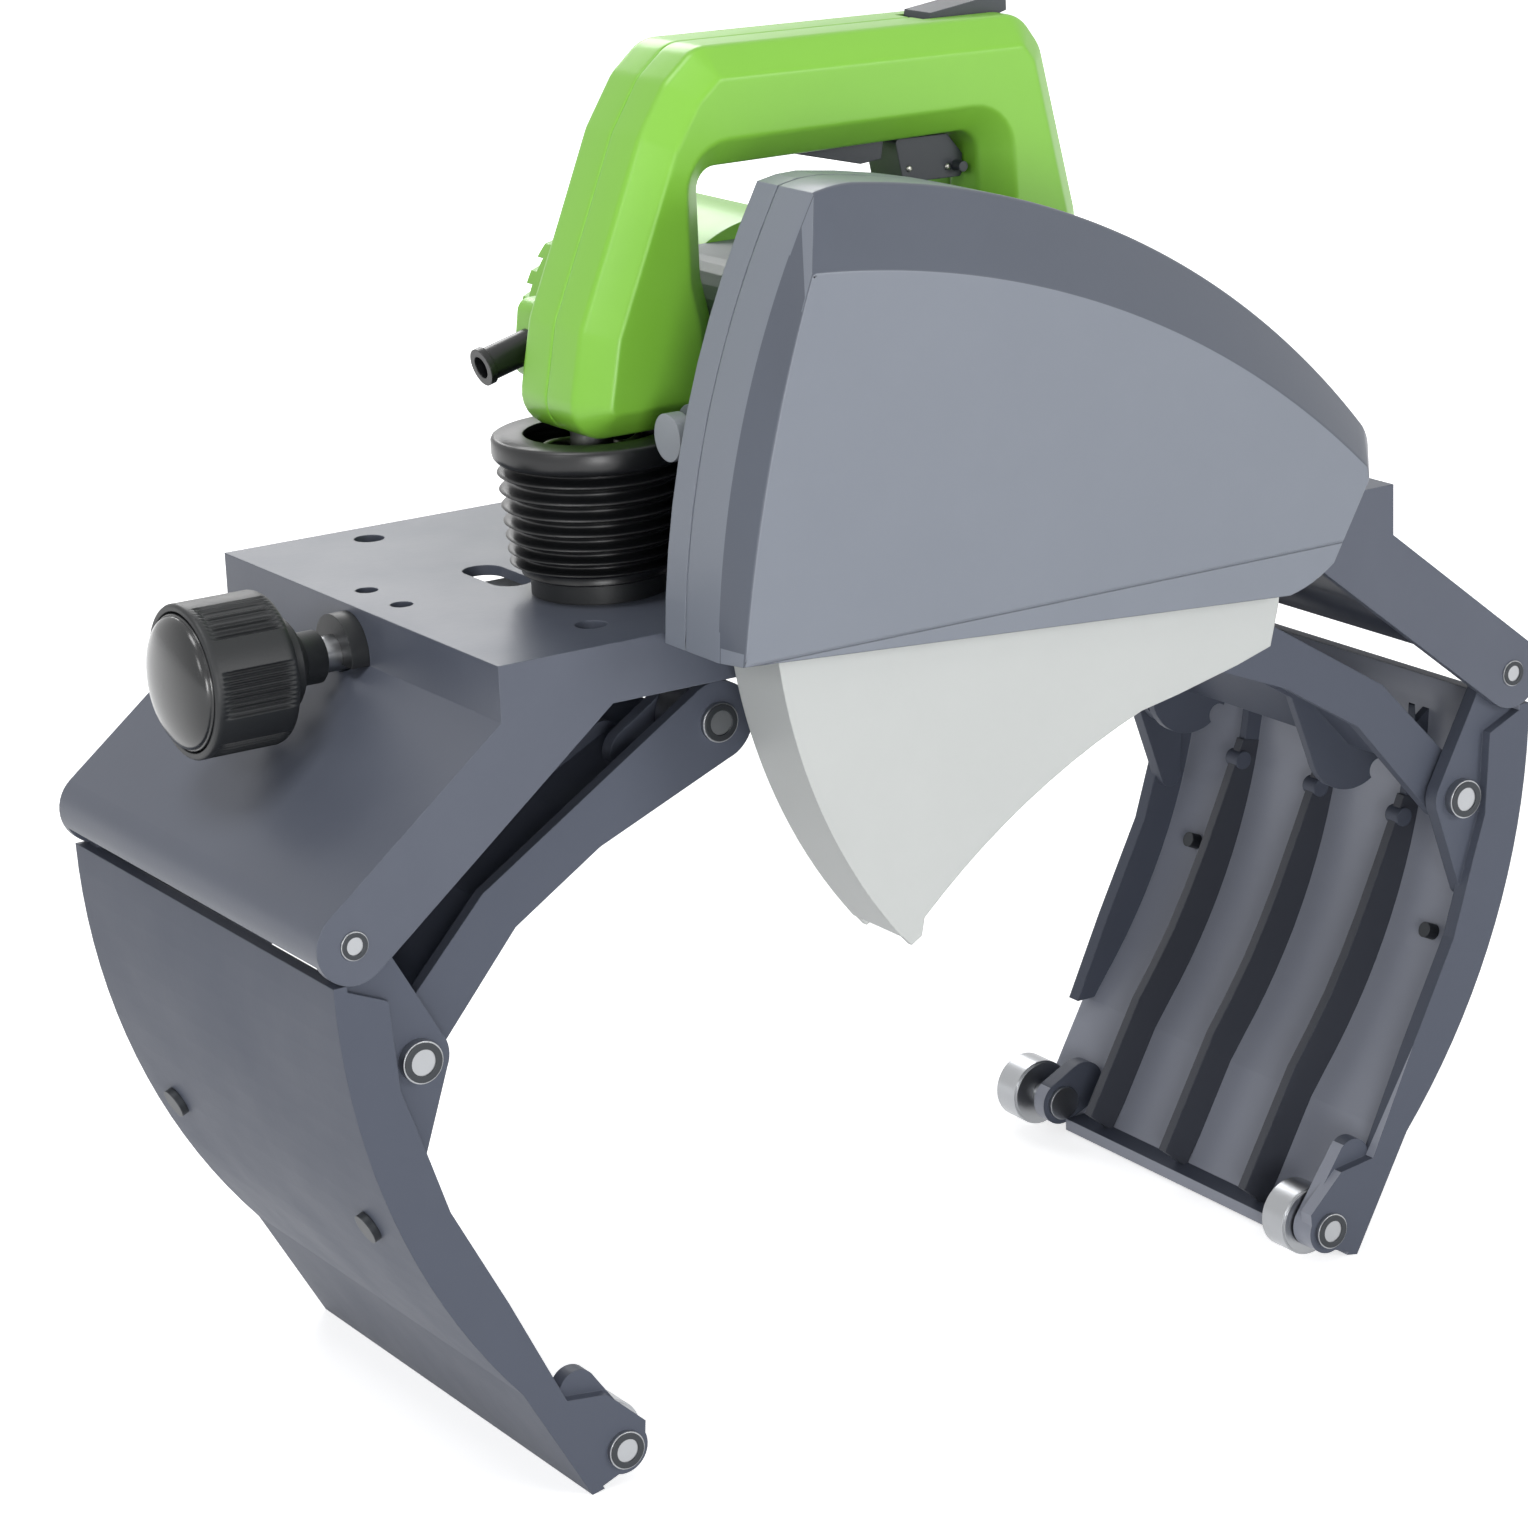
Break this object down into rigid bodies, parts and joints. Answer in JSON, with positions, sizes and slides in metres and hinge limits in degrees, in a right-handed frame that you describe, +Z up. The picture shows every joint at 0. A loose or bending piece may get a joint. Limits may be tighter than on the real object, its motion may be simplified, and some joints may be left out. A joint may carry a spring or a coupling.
{
  "type": "electric pipe cutter",
  "caption": "Portable pipe saw: a small circular saw with a sliding lower guard tips on the deck of a screw-closed roller clamp with curved arms.",
  "frame": {"origin": "on the axis of the largest pipe that the rollers hold, at mid-depth of the frame", "axes": "+Y along the pipe, from the blade's side towards the motor; +Z up; +X to the side away from the clamp knob"},
  "size_m": [0.422, 0.204, 0.3952],
  "materials": {
    "frame_paint": "satin powder coat",
    "arm_paint": "satin powder coat",
    "black_nylon": "moulded, fine texture",
    "black_rubber": "moulded",
    "steel": "turned",
    "gear_steel": "hobbed and oiled",
    "guard_paint": "satin paint on die casting",
    "cast_aluminium": "die cast",
    "blade_steel": "ground",
    "green_shell": "moulded, satin",
    "copper_coil": "enamelled wire and laminations",
    "dark_plastic": "moulded",
    "pale_plastic": "moulded"
  },
  "bodies": {
    "frame": {"top_frame": "frame_paint", "screw_bearing": "black_nylon", "arm_pivot_pins": "steel", "hinge_bracket": "frame_paint", "hinge_pin": "steel", "frame_screws": "steel", "bellows_base": "black_nylon", "lock_post": "steel", "bellows": "black_rubber", "lift_spring": "steel"},
    "clamp_screw": {"clamp_screw": "steel", "clamp_knob": "black_nylon", "knob_cap": "black_nylon"},
    "left_nut": {"left_nut": "steel"},
    "right_nut": {"right_nut": "steel"},
    "left_arm": {"left_arm": "arm_paint", "left_arm_fasteners": "steel"},
    "right_arm": {"right_arm": "arm_paint", "right_arm_fasteners": "steel"},
    "left_link": {"left_link": "arm_paint", "left_centre_pins": "steel"},
    "right_link": {"right_link": "arm_paint", "right_centre_pins": "steel"},
    "tip_roller_left_front": {"tip_roller_left_front": "steel"},
    "tip_roller_left_rear": {"tip_roller_left_rear": "steel"},
    "tip_roller_right_front": {"tip_roller_right_front": "steel"},
    "tip_roller_right_rear": {"tip_roller_right_rear": "steel"},
    "centre_roller_left_front": {"centre_roller_left_front": "steel"},
    "centre_roller_left_rear": {"centre_roller_left_rear": "steel"},
    "centre_roller_right_front": {"centre_roller_right_front": "steel"},
    "centre_roller_right_rear": {"centre_roller_right_rear": "steel"},
    "saw": {"gear_housing": "cast_aluminium", "guard_rear_shell": "guard_paint", "guard_front_cover": "guard_paint", "guard_pivot": "steel", "saw_bearings": "steel", "motor_housing": "green_shell", "motor_end_cap": "green_shell", "field_coil": "copper_coil", "carbon_brushes": "black_nylon", "handle_front": "green_shell", "handle_rear": "green_shell", "switch": "black_nylon", "cord_sleeve": "black_rubber", "saw_screws": "steel"},
    "lower_guard": {"lower_guard": "cast_aluminium", "guard_spring": "steel"},
    "spindle": {"spindle": "steel", "drive_gear": "gear_steel", "inner_flange": "steel", "saw_blade": "blade_steel", "outer_flange": "steel", "blade_bolt": "steel"},
    "armature": {"armature": "steel", "cooling_fan": "black_nylon"},
    "trigger": {"trigger": "dark_plastic"},
    "trigger_lock": {"trigger_lock": "dark_plastic"},
    "unlock_lever": {"unlock_lever": "dark_plastic"},
    "spindle_lock": {"spindle_lock": "pale_plastic"}
  },
  "joints": [
    {"name": "clamp_screw_turn", "type": "hinge", "parent": "frame", "child": "clamp_screw", "pos_m": [-0.16, 0.0035, 0.1427], "axis": [-1, 0, 0], "range_deg": [0, 3987.4]},
    {"name": "left_nut_travel", "type": "slide", "parent": "frame", "child": "left_nut", "axis": [1, 0, 0], "range_m": [0, 0.04431]},
    {"name": "right_nut_travel", "type": "slide", "parent": "frame", "child": "right_nut", "axis": [-1, 0, 0], "range_m": [0, 0.04431]},
    {"name": "left_arm_swing", "type": "hinge", "parent": "frame", "child": "left_arm", "pos_m": [-0.2, 0, 0.0887], "axis": [0, -1, 0], "range_deg": [0, 50.02]},
    {"name": "right_arm_swing", "type": "hinge", "parent": "frame", "child": "right_arm", "pos_m": [0.2, 0, 0.0887], "axis": [0, 1, 0], "range_deg": [0, 50.02]},
    {"name": "left_link_turn", "type": "hinge", "parent": "left_arm", "child": "left_link", "pos_m": [-0.1818, 0, 0.0518], "axis": [0, 1, 0], "range_deg": [0, 66.6]},
    {"name": "right_link_turn", "type": "hinge", "parent": "right_arm", "child": "right_link", "pos_m": [0.1818, 0, 0.0518], "axis": [0, -1, 0], "range_deg": [0, 66.6]},
    {"name": "tip_roller_left_front_spin", "type": "hinge", "parent": "left_arm", "child": "tip_roller_left_front", "pos_m": [-0.127, -0.0665, -0.0763], "axis": [0, 1, 0], "continuous": true},
    {"name": "centre_roller_left_front_spin", "type": "hinge", "parent": "left_link", "child": "centre_roller_left_front", "pos_m": [-0.08, -0.0614, 0.1247], "axis": [0, 1, 0], "continuous": true},
    {"name": "tip_roller_left_rear_spin", "type": "hinge", "parent": "left_arm", "child": "tip_roller_left_rear", "pos_m": [-0.127, 0.0749, -0.0763], "axis": [0, 1, 0], "continuous": true},
    {"name": "centre_roller_left_rear_spin", "type": "hinge", "parent": "left_link", "child": "centre_roller_left_rear", "pos_m": [-0.08, 0.0614, 0.1247], "axis": [0, 1, 0], "continuous": true},
    {"name": "tip_roller_right_front_spin", "type": "hinge", "parent": "right_arm", "child": "tip_roller_right_front", "pos_m": [0.127, -0.0665, -0.0763], "axis": [0, 1, 0], "continuous": true},
    {"name": "centre_roller_right_front_spin", "type": "hinge", "parent": "right_link", "child": "centre_roller_right_front", "pos_m": [0.08, -0.0614, 0.1247], "axis": [0, 1, 0], "continuous": true},
    {"name": "tip_roller_right_rear_spin", "type": "hinge", "parent": "right_arm", "child": "tip_roller_right_rear", "pos_m": [0.127, 0.0749, -0.0763], "axis": [0, 1, 0], "continuous": true},
    {"name": "centre_roller_right_rear_spin", "type": "hinge", "parent": "right_link", "child": "centre_roller_right_rear", "pos_m": [0.08, 0.0614, 0.1247], "axis": [0, 1, 0], "continuous": true},
    {"name": "saw_tilt", "type": "hinge", "parent": "frame", "child": "saw", "pos_m": [0.118, 0, 0.1687], "axis": [0, 1, 0], "range_deg": [0, 14], "deforming": ["bellows", "lift_spring"]},
    {"name": "lower_guard_swing", "type": "hinge", "parent": "saw", "child": "lower_guard", "pos_m": [0.077, -0.102, 0.1717], "axis": [0, 1, 0], "range_deg": [0, 33], "stiffness_Nm_per_rad": 0.25, "springref_deg": -28.65},
    {"name": "spindle_spin", "type": "hinge", "parent": "saw", "child": "spindle", "pos_m": [-0.014, -0.102, 0.1847], "axis": [0, 1, 0], "continuous": true},
    {"name": "armature_spin", "type": "hinge", "parent": "saw", "child": "armature", "pos_m": [-0.016, -0.03, 0.20711], "axis": [0, 1, 0], "continuous": true},
    {"name": "trigger_pull", "type": "hinge", "parent": "saw", "child": "trigger", "pos_m": [-0.023, -0.028, 0.2787], "axis": [0, -1, 0], "range_deg": [0, 5], "stiffness_Nm_per_rad": 1.2, "springref_deg": -8.59},
    {"name": "trigger_lock_turn", "type": "hinge", "parent": "saw", "child": "trigger_lock", "pos_m": [0.029, -0.028, 0.2607], "axis": [0, -1, 0], "range_deg": [0, 9], "stiffness_Nm_per_rad": 0.6, "springref_deg": -11.46},
    {"name": "unlock_lever_press", "type": "hinge", "parent": "saw", "child": "unlock_lever", "pos_m": [0.025, -0.028, 0.2987], "axis": [0, 1, 0], "range_deg": [0, 5], "stiffness_Nm_per_rad": 0.8, "springref_deg": -11.46},
    {"name": "spindle_lock_push", "type": "slide", "parent": "saw", "child": "spindle_lock", "axis": [1, 0, 0], "range_m": [0, 0.003], "stiffness_N_per_m": 900, "springref_m": -0.002}
  ],
  "couplings": [
    {"joint": "left_nut_travel", "follows": "clamp_screw_turn", "m_per_rad": 0.00063662},
    {"joint": "right_nut_travel", "follows": "clamp_screw_turn", "m_per_rad": 0.00063662},
    {"joint": "left_arm_swing", "follows": "clamp_screw_turn", "ratio": 0.012539},
    {"joint": "right_arm_swing", "follows": "clamp_screw_turn", "ratio": 0.012539},
    {"joint": "left_link_turn", "follows": "clamp_screw_turn", "ratio": 0.016698},
    {"joint": "right_link_turn", "follows": "clamp_screw_turn", "ratio": 0.016698},
    {"joint": "armature_spin", "follows": "spindle_spin", "ratio": -2.75}
  ]
}
